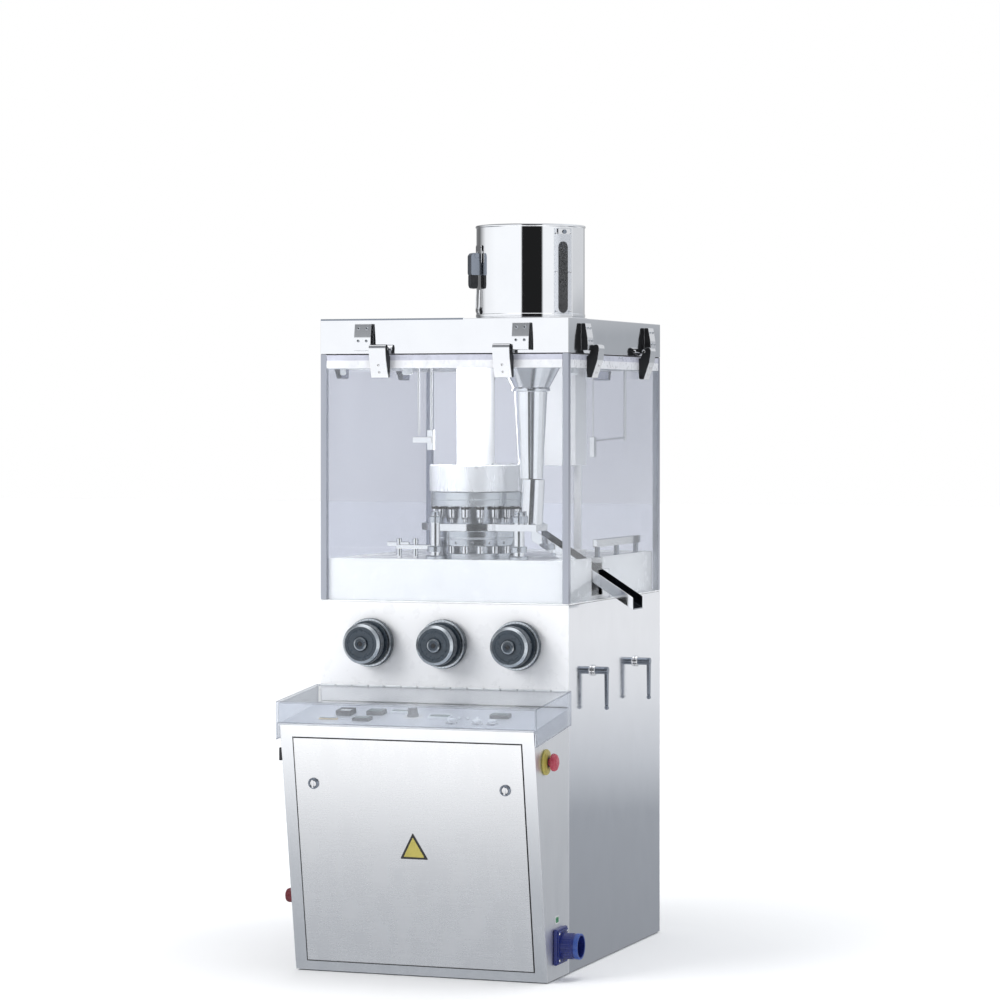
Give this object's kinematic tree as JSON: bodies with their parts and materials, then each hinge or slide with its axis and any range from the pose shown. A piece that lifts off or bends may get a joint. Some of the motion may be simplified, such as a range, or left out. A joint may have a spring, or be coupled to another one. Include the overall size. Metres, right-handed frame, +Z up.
{
  "type": "rotary tablet press",
  "caption": "Rotary tablet press: steel cabinet, leaning console under a clear hood, handwheels, glazed press chamber with a turret, hopper above and a discharge chute at the side.",
  "frame": {"origin": "on the floor, at the underside of the base casting, under the turret's axis", "axes": "+Z up along the turret's axis, -Y to the front where the console and handwheels are, +X to the discharge chute's side"},
  "size_m": [0.7102, 0.96, 1.6815],
  "materials": {
    "base_casting": "rough cast",
    "cabinet_steel": "polished sheet",
    "console_steel": "satin brushed sheet",
    "white_enamel": "gloss enamel",
    "guard_steel": "satin",
    "clear_acrylic": "clear sheet",
    "white_rail": "gloss enamel",
    "hinge_chrome": "polished",
    "press_steel": "turned",
    "feed_chrome": "polished",
    "chute_steel": "satin sheet",
    "hopper_steel": "polished sheet",
    "motor_paint": "satin enamel",
    "pulley_iron": "machined",
    "belt_rubber": "matt",
    "black_plastic": "moulded",
    "pale_plastic": "moulded",
    "yellow_plastic": "moulded",
    "red_plastic": "moulded",
    "inlet_blue": "moulded",
    "maroon_plastic": "moulded",
    "wheel_dark": "satin"
  },
  "bodies": {
    "root": {"ammeter": "black_plastic", "base_frame": "base_casting", "cabinet_shell": "cabinet_steel", "console_shell": "console_steel", "control_panel": "console_steel", "discharge_chute": "chute_steel", "drive_belt": "belt_rubber", "estop_base": "yellow_plastic", "feed_frame": "feed_chrome", "front_band": "white_enamel", "front_hinge_1": "hinge_chrome", "front_hinge_2": "hinge_chrome", "guard_frame": "guard_steel", "hopper_barrel": "hopper_steel", "hopper_funnel": "chute_steel", "hopper_sight_glass": "clear_acrylic", "left_hinge_1": "hinge_chrome", "left_hinge_2": "hinge_chrome", "motor": "motor_paint", "power_inlet": "inlet_blue", "press_frame": "white_enamel", "rear_hinge_1": "hinge_chrome", "rear_hinge_2": "hinge_chrome", "right_hinge_1": "hinge_chrome", "right_hinge_2": "hinge_chrome", "top_cover": "white_enamel", "upper_cam_drum": "press_steel", "worktable": "white_enamel"},
    "turret": {"turret": "press_steel", "upper_punches": "press_steel", "main_shaft": "press_steel"},
    "front_window": {"front_window_pane": "clear_acrylic", "front_window_rail": "white_rail"},
    "right_window": {"right_window_pane": "clear_acrylic", "right_window_rail": "white_rail"},
    "rear_window": {"rear_window_pane": "clear_acrylic", "rear_window_rail": "white_rail"},
    "left_window": {"left_window_pane": "clear_acrylic", "left_window_rail": "white_rail"},
    "worm_shaft": {"worm_shaft": "press_steel"},
    "motor_pulley": {"motor_pulley": "pulley_iron"},
    "upper_roller": {"upper_roller": "press_steel"},
    "lower_roller": {"lower_roller": "press_steel"},
    "handwheel_left": {"handwheel_left": "wheel_dark"},
    "handwheel_middle": {"handwheel_middle": "wheel_dark"},
    "handwheel_right": {"handwheel_right": "wheel_dark"},
    "speed_knob": {"speed_knob": "black_plastic"},
    "inch_button": {"inch_button": "pale_plastic"},
    "stop_button": {"stop_button": "pale_plastic"},
    "start_button": {"start_button": "pale_plastic"},
    "estop_button": {"estop_button": "red_plastic"},
    "main_switch_knob": {"main_switch_knob": "maroon_plastic"},
    "console_cover": {"console_cover": "clear_acrylic"},
    "front_door": {"front_door": "console_steel"},
    "door_lock_left": {"door_lock_left": "hinge_chrome"},
    "door_lock_right": {"door_lock_right": "hinge_chrome"},
    "right_side_panel": {"right_side_panel": "cabinet_steel"},
    "side_handle_front": {"side_handle_front": "hinge_chrome"},
    "side_handle_rear": {"side_handle_rear": "hinge_chrome"},
    "hopper_clamp": {"hopper_clamp": "hinge_chrome"}
  },
  "joints": [
    {"name": "turret_spin", "type": "hinge", "parent": "root", "child": "turret", "pos_m": [0, 0, 0.984], "axis": [0, 0, 1], "continuous": true},
    {"name": "worm_spin", "type": "hinge", "parent": "root", "child": "worm_shaft", "pos_m": [-0.17, 0.1335, 0.45], "axis": [1, 0, 0], "continuous": true},
    {"name": "motor_spin", "type": "hinge", "parent": "root", "child": "motor_pulley", "pos_m": [-0.17, 0.33, 0.115], "axis": [1, 0, 0], "continuous": true},
    {"name": "upper_roller_spin", "type": "hinge", "parent": "root", "child": "upper_roller", "pos_m": [-0.083, 0, 1.0975], "axis": [1, 0, 0], "continuous": true},
    {"name": "lower_roller_spin", "type": "hinge", "parent": "root", "child": "lower_roller", "pos_m": [-0.095, 0, 0.834], "axis": [1, 0, 0], "continuous": true},
    {"name": "handwheel_left_turn", "type": "hinge", "parent": "root", "child": "handwheel_left", "pos_m": [-0.171, -0.214, 0.7325], "axis": [0, -1, 0], "range_deg": [-720, 720]},
    {"name": "handwheel_middle_turn", "type": "hinge", "parent": "root", "child": "handwheel_middle", "pos_m": [0.006, -0.214, 0.7325], "axis": [0, -1, 0], "range_deg": [-720, 720]},
    {"name": "handwheel_right_turn", "type": "hinge", "parent": "root", "child": "handwheel_right", "pos_m": [0.183, -0.214, 0.7325], "axis": [0, -1, 0], "range_deg": [-720, 720]},
    {"name": "speed_knob_turn", "type": "hinge", "parent": "root", "child": "speed_knob", "pos_m": [-0.022, -0.345, 0.57681], "axis": [0, 0.1349, -0.9909], "range_deg": [0, 270]},
    {"name": "inch_button_press", "type": "slide", "parent": "root", "child": "inch_button", "axis": [0, 0.1349, -0.9909], "range_m": [0, 0.003], "stiffness_N_per_m": 400},
    {"name": "stop_button_press", "type": "slide", "parent": "root", "child": "stop_button", "axis": [0, 0.1349, -0.9909], "range_m": [0, 0.003], "stiffness_N_per_m": 400},
    {"name": "start_button_press", "type": "slide", "parent": "root", "child": "start_button", "axis": [0, 0.1349, -0.9909], "range_m": [0, 0.003], "stiffness_N_per_m": 400},
    {"name": "estop_press", "type": "slide", "parent": "root", "child": "estop_button", "axis": [-1, 0, 0], "range_m": [0, 0.004], "stiffness_N_per_m": 1500},
    {"name": "main_switch_turn", "type": "hinge", "parent": "root", "child": "main_switch_knob", "pos_m": [-0.2995, -0.364, 0.169], "axis": [-1, 0, 0], "range_deg": [0, 90]},
    {"name": "front_window_swing", "type": "hinge", "parent": "root", "child": "front_window", "pos_m": [0, -0.2265, 1.4], "axis": [-1, 0, 0], "range_deg": [0, 80]},
    {"name": "right_window_swing", "type": "hinge", "parent": "root", "child": "right_window", "pos_m": [0.312, 0.13075, 1.4], "axis": [0, -1, 0], "range_deg": [0, 80]},
    {"name": "rear_window_swing", "type": "hinge", "parent": "root", "child": "rear_window", "pos_m": [0, 0.488, 1.4], "axis": [1, 0, 0], "range_deg": [0, 80]},
    {"name": "left_window_swing", "type": "hinge", "parent": "root", "child": "left_window", "pos_m": [-0.312, 0.13075, 1.4], "axis": [0, 1, 0], "range_deg": [0, 80]},
    {"name": "console_cover_lift", "type": "hinge", "parent": "root", "child": "console_cover", "pos_m": [0, -0.219, 0.632], "axis": [-1, 0, 0], "range_deg": [0, 30]},
    {"name": "front_door_liftoff", "type": "slide", "parent": "root", "child": "front_door", "axis": [0, -0.9864, -0.1646], "range_m": [0, 0.12]},
    {"name": "door_lock_left_turn", "type": "hinge", "parent": "front_door", "child": "door_lock_left", "pos_m": [-0.2265, -0.42926, 0.42989], "axis": [0, -0.9864, -0.1646], "range_deg": [0, 90]},
    {"name": "door_lock_right_turn", "type": "hinge", "parent": "front_door", "child": "door_lock_right", "pos_m": [0.2265, -0.42926, 0.42989], "axis": [0, -0.9864, -0.1646], "range_deg": [0, 90]},
    {"name": "side_panel_liftoff", "type": "slide", "parent": "root", "child": "right_side_panel", "axis": [1, 0, 0], "range_m": [0, 0.045]},
    {"name": "side_handle_front_turn", "type": "hinge", "parent": "right_side_panel", "child": "side_handle_front", "pos_m": [0.2995, -0.04, 0.668], "axis": [1, 0, 0], "range_deg": [0, 90]},
    {"name": "side_handle_rear_turn", "type": "hinge", "parent": "right_side_panel", "child": "side_handle_rear", "pos_m": [0.2995, 0.281, 0.668], "axis": [1, 0, 0], "range_deg": [0, 90]},
    {"name": "hopper_clamp_swing", "type": "hinge", "parent": "root", "child": "hopper_clamp", "pos_m": [0.05097, -0.14145, 1.612], "axis": [-0.6428, 0.766, 0], "range_deg": [0, 70]}
  ],
  "couplings": [
    {"joint": "worm_spin", "follows": "turret_spin", "ratio": 30},
    {"joint": "motor_spin", "follows": "turret_spin", "ratio": 68.889},
    {"joint": "upper_roller_spin", "follows": "turret_spin", "ratio": -3.532},
    {"joint": "lower_roller_spin", "follows": "turret_spin", "ratio": 2.111}
  ]
}
